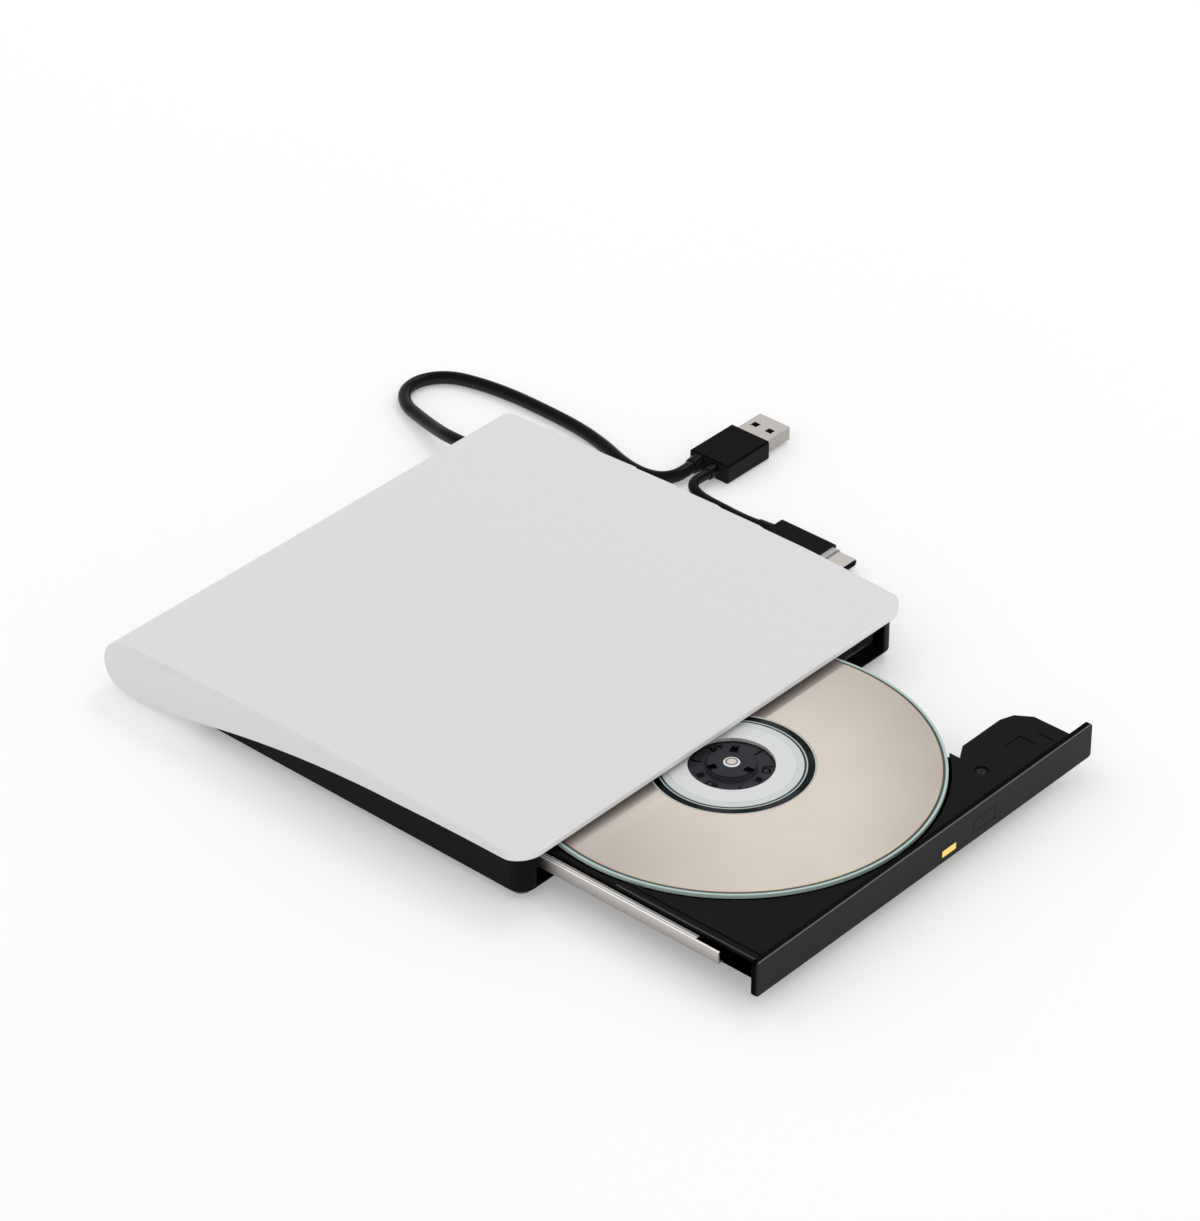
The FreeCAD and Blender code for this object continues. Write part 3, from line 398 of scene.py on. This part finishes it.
def tray_material():
    """Black plastic: the well painted deep black as shade, a painted highlight along the left ridge, and
    painted highlights on the wing's rear edges.
    """
    shader = Shader("tray_black")
    parts = shader.parts()
    x, y = WING_CORNER
    # painted highlights along the wing's rear edge and its slanted step
    wing_rear_highlight = shader.both(shader.above(parts["Y"], y - 0.12), shader.above(parts["X"], x))
    slant = shader.math("SUBTRACT", parts["Y"], shader.math("MULTIPLY", parts["X"], WING_SLOPE))
    step = shader.both(shader.above(slant, y - WING_SLOPE * x - 0.15), shader.above(parts["X"], WING_INNER_X))
    # painted highlight along the tray's left top edge
    ridge_highlight = shader.both(shader.below(parts["X"], TRAY_LEFT + 0.35), shader.above(parts["Z"], TRAY_TOP - 0.25))
    ridge_highlight = shader.both(ridge_highlight, shader.below(parts["Y"], RIDGE_HIGHLIGHT_REAR))
    top = shader.mix(shader.noise(8.0), *shades(linear(19, 19, 20), 0.1))
    top = shader.mix(shader.either(wing_rear_highlight, step), top, linear(112, 112, 116))
    top = shader.mix(ridge_highlight, top, linear(72, 72, 74))
    # painted shade: everything low in the well is made black
    above_well_shade = shader.above(parts["Z"], WELL_FLOOR + 0.3)
    shader.colour(shader.mix(above_well_shade, linear(0, 0, 0), top))
    shader.link(shader.math("MULTIPLY", above_well_shade, 0.03), shader.main.inputs["Specular IOR Level"])
    shader.rough(shader.noise(2.0), 0.42, 0.52)
    shader.bump(shader.noise(0.4, 2.0), 0.006)
    return shader.material


def base_material():
    """Black satin plastic, with a painted highlight that makes it a little lighter along its lower rim."""
    shader = Shader("base_black")
    # painted highlight: lighter below the rim's lower height
    rim_highlight = shader.ramp(shader.parts()["Z"], BASE_RIM_HIGHLIGHT[1], BASE_RIM_HIGHLIGHT[0])
    body = shader.mix(shader.noise(9.0), *shades(linear(12, 12, 13), 0.08))
    shader.colour(shader.mix(rim_highlight, body, linear(52, 52, 54)))
    shader.rough(shader.noise(3.0), 0.36, 0.44)
    shader.bump(shader.noise(0.35, 2.0), 0.004)
    shader.set(Specular_IOR_Level=0.06)
    return shader.material


def bezel_material():
    """Dark satin face with a painted highlight along its upper edge, and the top and sides behind it painted
    black as shade.
    """
    shader = Shader("bezel_black")
    parts = shader.parts()
    face = shader.mix(shader.noise(9.0), linear(17, 17, 18), linear(22, 22, 23))
    # painted highlight along the face's upper edge
    edge = shader.both(shader.above(parts["Z"], BEZEL_HIGH - 0.3),
                       shader.below(parts["Y"], BEZEL_FRONT + 0.35))
    face = shader.mix(edge, face, linear(96, 96, 98))
    # painted shade: the top and sides behind the face are made black and less glossy
    behind_face_shade = shader.above(parts["Y"], BEZEL_FRONT + 0.45)
    shader.colour(shader.mix(behind_face_shade, face, linear(1, 1, 1)))
    shader.link(shader.between(behind_face_shade, 0.1, 0.015), shader.main.inputs["Specular IOR Level"])
    shader.rough(shader.noise(3.0), 0.2, 0.26)
    shader.bump(shader.noise(0.25, 2.0), 0.002)
    return shader.material


def hub_material():
    """Charcoal plastic with its pockets painted deep black as shade; the plate lies under the disc's clear
    middle.
    """
    shader = Shader("hub_black")
    radius, height = shader.from_axis(), shader.parts()["Z"]
    plate = shader.above(radius, HUB_R + 0.1)
    body = shader.mix(plate, linear(50, 51, 55), linear(57, 58, 63))
    # painted shade: the hub's pockets and everything below the plate's top are made black
    hub_pocket_shade = shader.both(shader.below(height, HUB_TOP - 0.2), shader.below(radius, HUB_R - 0.15))
    pocket_shade = shader.either(shader.below(height, PLATE_TOP - 0.1), hub_pocket_shade)
    shader.colour(shader.mix(pocket_shade, body, linear(0, 0, 0)))
    shader.rough(shader.noise(2.0), 0.4, 0.5)
    shader.bump(shader.noise(0.3, 2.0), 0.004)
    shader.set(Specular_IOR_Level=0.03)
    return shader.material


def rail_material():
    """Drawn steel with painted shade that darkens the side towards its lower edge, and two painted highlight
    lines along the top.
    """
    shader = Shader("rail_steel")
    parts = shader.parts()
    lines = shader.noise(0.4, 4.0, (1, 0.04, 1))
    # painted shade: the side darkens from its upper edge to its lower
    height = shader.math("ADD", shader.ramp(parts["Z"], RAIL_LOW, RAIL_HIGH),
                         shader.between(lines, -0.15, 0.15))
    side = shader.mix(height, linear(158, 152, 148), linear(208, 203, 199))
    # painted highlights: two bright lines along the top flange
    outer, low, high = RAIL_HIGHLIGHT_LINES
    second = shader.both(shader.above(parts["X"], low), shader.below(parts["X"], high))
    highlight_lines = shader.either(shader.below(parts["X"], outer), second)
    flange_highlight = shader.mix(highlight_lines, linear(190, 186, 183), linear(252, 250, 248))
    top = shader.above(parts["Z"], RAIL_HIGH - 0.04)
    shader.colour(shader.mix(top, side, flange_highlight))
    shader.link(shader.between(top, 1.0, 0.35), shader.main.inputs["Metallic"])
    shader.rough(lines, 0.34, 0.52)
    shader.bump(lines, 0.003)
    return shader.material


def pin_material():
    """Turned pin: a bright rim, a grey groove, and a warm middle."""
    shader = Shader("pin_silver")
    radius = shader.from_axis()
    middle = shader.mix(shader.noise(0.8), linear(196, 186, 176), linear(214, 208, 200))
    groove = shader.mix(shader.above(radius, PIN_GROOVE_R), middle, linear(112, 110, 108))
    shader.colour(shader.mix(shader.above(radius, PIN_RIM_R), groove, linear(236, 236, 236)))
    shader.rough(shader.noise(1.0), 0.3, 0.4)
    shader.set(Specular_IOR_Level=0.1)
    return shader.material


LID = lid_material()
BASE = base_material()
RUBBER = plastic("rubber_black", linear(24, 24, 24), 0.75, 0.1, 0.2, 0.01)
TRAY = tray_material()
BEZEL = bezel_material()
BUTTON = plastic("button_black", linear(21, 21, 22), 0.24, 0.1, 0.25, 0.002)
HUB = hub_material()
CHIP = plastic("chip_black", linear(28, 28, 30), 0.5, 0.2)
BOARD = plastic("board_green", linear(30, 78, 50), 0.4, 0.4, 0.8, 0.01)
GUIDE = plastic("guide_black", linear(16, 16, 17), 0.5, 0.08)
NYLON = plastic("nylon_white", linear(222, 220, 212), 0.45)
FLEX = plastic("flex_amber", linear(176, 104, 36), 0.3, 0.5)
# The cord and plugs carry painted light on their sides.
CORD = sides_painted_lighter("cord_black", linear(2, 2, 2), linear(40, 40, 41), 0.16, 0.08)
PLUG = sides_painted_lighter("plug_black", linear(2, 2, 2), linear(32, 32, 33), 0.2, 0.03)
COLLAR = plastic("plug_grey", linear(170, 176, 176), 0.4)
SHEET = metal("sheet_steel", linear(176, 178, 180), 0.38, (1, 0.1, 1))
SCREW = metal("screw_steel", linear(62, 62, 64), 0.35)
DARK_SCREW = metal("screw_black", linear(34, 34, 36), 0.3)
RAIL = rail_material()
ROD = metal("rod_steel", linear(205, 206, 208), 0.18, (1, 0.1, 1))
COVER = metal("cover_steel_black", linear(52, 52, 54), 0.5)
COPPER = metal("motor_copper", linear(184, 110, 62), 0.35)
SLED = metal("sled_metal", linear(140, 143, 147), 0.45)
PIN = pin_material()
SHELL = metal("plug_steel", linear(176, 171, 166), 0.3, (1, 0.15, 1), 0.0006)
LAMP = lamp_material()
LENS = lens_material()
CLEAR = window_material()
CLAMP = plastic("disc_clamp", linear(216, 217, 218), 0.3, 0.1, 0.8, 0.002, 0.03)
FROST = plastic("disc_frost", linear(204, 208, 208), 0.3, 0.1, 0.8, 0.002, 0.06)
SEAM = plastic("disc_seam", linear(44, 62, 66), 0.3, 0.05)
PALE = plastic("disc_pale", linear(180, 198, 192), 0.2, 0.1, 0.8, 0.001, 0.03)
EDGE = plastic("disc_edge", linear(66, 82, 78), 0.2, 0.1, 0.8, 0.001, 0.03)
MIRROR = disc_mirror_material()
PRINT = disc_print_material()

NODE_MATERIALS = [
    (LID, ["top_cover"]),
    (BASE, ["base_cover"]),
    (RUBBER, ["rubber_feet", "turntable_ring"]),
    (SCREW, ["base_screws", "drive_shell_screws", "ejector_spring"]),
    (DARK_SCREW, ["tray_screws"]),
    (SHEET, ["drive_bottom_shell", "drive_top_shell", "ejector_bracket", "rod_clamps", "sled_motor_bracket",
             "latch_post"]),
    (GUIDE, ["left_rail_guide", "right_rail_guide", "drive_connector", "eject_switch", "ejector_rod"]),
    (BOARD, ["main_board", "bridge_board", "tray_board"]),
    (CHIP, ["main_board_chips", "tray_board_chips"]),
    (TRAY, ["tray"]),
    (BEZEL, ["bezel"]),
    (BUTTON, ["eject_button"]),
    (LAMP, ["led_window", "status_lamp"]),
    (COVER, ["traverse_plate"]),
    (FLEX, ["ribbon_cable"]),
    (COPPER, ["spindle_stator"]),
    (HUB, ["turntable", "hub_claws"]),
    (PIN, ["centre_pin"]),
    (PRINT, ["disc"]),
    (ROD, ["guide_rods", "lead_screw", "solenoid_plunger"]),
    (SLED, ["pickup_sled", "sled_motor", "latch_solenoid"]),
    (CHIP, ["laser_unit", "lens_holder"]),
    (LENS, ["objective_lens"]),
    (NYLON, ["sled_follower", "latch_hook"]),
    (RAIL, ["left_rail", "right_rail"]),
    (CORD, ["cord_grommet", "cord_sleeves", "usb_c_sleeve", "main_cord", "short_cord"]),
    (PLUG, ["usb_a_housing", "usb_c_housing", "usb_a_tongue"]),
    (SHELL, ["usb_a_shell", "usb_c_shell"]),
    (COLLAR, ["usb_c_collar"]),
]


def dress_nodes():
    for material, names in NODE_MATERIALS:
        for name in names:
            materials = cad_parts[name].data.materials
            materials.clear()
            materials.append(material)


# Cords

def cord(name, route, diameter):
    """A cord as one smooth curve along its route, with a round section."""
    data = bpy.data.curves.new(name, "CURVE")
    data.dimensions = "3D"
    data.bevel_depth = diameter * MM / 2
    data.bevel_resolution = 7
    data.resolution_u = 12
    data.use_fill_caps = True
    spline = data.splines.new("NURBS")
    spline.points.add(len(route) - 1)
    for point, place in zip(spline.points, route):
        point.co = (*(value * MM for value in place), 1.0)
    spline.order_u = 3
    spline.use_endpoint_u = True
    piece = bpy.data.objects.new(name, data)
    scene.collection.objects.link(piece)
    data.materials.append(CORD)
    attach(piece, "casing")
    return piece


def cords():
    main = cord("cord_main", MAIN_ROUTE, CORD_D)
    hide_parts("main_cord")
    short = cord("cord_short", SHORT_ROUTE, SHORT_CORD_D)
    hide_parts("short_cord")


# Disc

def ring(name, profile, material):
    """A closed ring turned about the disc's axis: profile is (radius, height) corners, counterclockwise."""
    points = []
    faces = []
    count = len(profile)
    for step in range(DISC_STEPS):
        angle = 2 * math.pi * step / DISC_STEPS
        for radius, height in profile:
            points.append(((DISC_X + radius * math.cos(angle)) * MM, (DISC_Y + radius * math.sin(angle)) * MM,
                           height * MM))
    for step in range(DISC_STEPS):
        here, there = step * count, (step + 1) % DISC_STEPS * count
        for index in range(count):
            after = (index + 1) % count
            faces.append((here + index, there + index, there + after, here + after))
    mesh = bpy.data.meshes.new(name)
    mesh.from_pydata(points, [], faces)
    mesh.update()
    piece = bpy.data.objects.new(name, mesh)
    scene.collection.objects.link(piece)
    mesh.materials.append(material)
    mesh.shade_smooth()
    mesh.set_sharp_from_angle(angle=math.radians(35))
    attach(piece, "spindle")
    return piece


def band(inner, outer, low, high):
    """Profile of a flat ring with its edges just broken."""
    edge = min(0.08, (high - low) / 4)
    return [(inner + edge, low), (outer - edge, low), (outer, low + edge), (outer, high - edge),
            (outer - edge, high), (inner + edge, high), (inner, high - edge), (inner, low + edge)]


def disc():
    """The disc as rings side by side, each with how far its face lies below the disc's top."""
    print_ring = ring("disc_print", band(FRINGE_R, PRINT_R, DISC_LOW, DISC_HIGH), PRINT)
    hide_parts("disc")
    rings = [
        ("disc_window", DISC_HOLE_R, WINDOW_R, 0.04, CLEAR),
        ("disc_clamp_ring", WINDOW_R, CLAMP_R, 0.0, CLAMP),
        ("disc_frost_ring", CLAMP_R, FROST_R, 0.03, FROST),
        ("disc_seam", FROST_R, SEAM_R, 0.1, SEAM),
        ("disc_lip", SEAM_R, LIP_R, 0.02, PALE),
        ("disc_mirror_band", LIP_R, MIRROR_R, 0.03, MIRROR),
        ("disc_fringe", MIRROR_R, FRINGE_R, 0.02, PALE),
        ("disc_edge_line", PRINT_R, EDGE_R, 0.05, EDGE),
        ("disc_rim", EDGE_R, DISC_R, 0.0, PALE),
    ]
    for name, inner, outer, sunk, material in rings:
        ring(name, band(inner, outer, DISC_LOW, DISC_HIGH - sunk), material)


# Floor, light and background

def floor():
    """A plain white surface, just under the object, that keeps its shadow."""
    bpy.ops.mesh.primitive_plane_add(size=FLOOR_SIZE, location=(0, 0, -FLOOR_DROP))
    plane = bpy.context.object
    plane.name = "floor"
    shader = Shader("floor_white")
    shader.colour(shader.mix(shader.noise(400.0, 1.0), linear(220, 220, 220), linear(224, 224, 224)))
    shader.set(Roughness=0.9, Specular_IOR_Level=0.1)
    shader.set(Emission_Color=linear(255, 255, 255), Emission_Strength=0.26)
    plane.data.materials.append(shader.material)


def background():
    """White to the camera and in reflections, a plain grey level as light."""
    world = bpy.data.worlds.new("studio")
    scene.world = world
    world.use_nodes = True
    nodes, links = world.node_tree.nodes, world.node_tree.links
    shown, lit = nodes["Background"], nodes.new("ShaderNodeBackground")
    for level, strength in ((shown, 1.0), (lit, 0.9)):
        level.inputs["Strength"].default_value = strength
        level.inputs["Color"].default_value = (1, 1, 1, 1)
    path = nodes.new("ShaderNodeLightPath")
    seen = path.outputs["Is Camera Ray"]
    for kind in ("Is Glossy Ray", "Is Transmission Ray"):
        either = nodes.new("ShaderNodeMath")
        either.operation = "MAXIMUM"
        links.new(seen, either.inputs[0])
        links.new(path.outputs[kind], either.inputs[1])
        seen = either.outputs[0]
    mixer = nodes.new("ShaderNodeMixShader")
    links.new(seen, mixer.inputs["Fac"])
    links.new(lit.outputs["Background"], mixer.inputs[1])
    links.new(shown.outputs["Background"], mixer.inputs[2])
    links.new(mixer.outputs["Shader"], nodes["World Output"].inputs["Surface"])


def lamp(name, place, size, power):
    """A soft square lamp that points at the object."""
    data = bpy.data.lights.new(name, "AREA")
    data.shape = "SQUARE"
    data.size = size
    data.energy = power
    made = bpy.data.objects.new(name, data)
    scene.collection.objects.link(made)
    made.location = place
    made.rotation_euler = (Vector(LAMP_AIM) - Vector(place)).to_track_quat("-Z", "Y").to_euler()


def lights():
    lamp(*SHEEN_LAMP)
    lamp(*KEY_LAMP)


look()
dress_nodes()
cords()
disc()
floor()
background()
lights()
scene.view_settings.view_transform = "Standard"
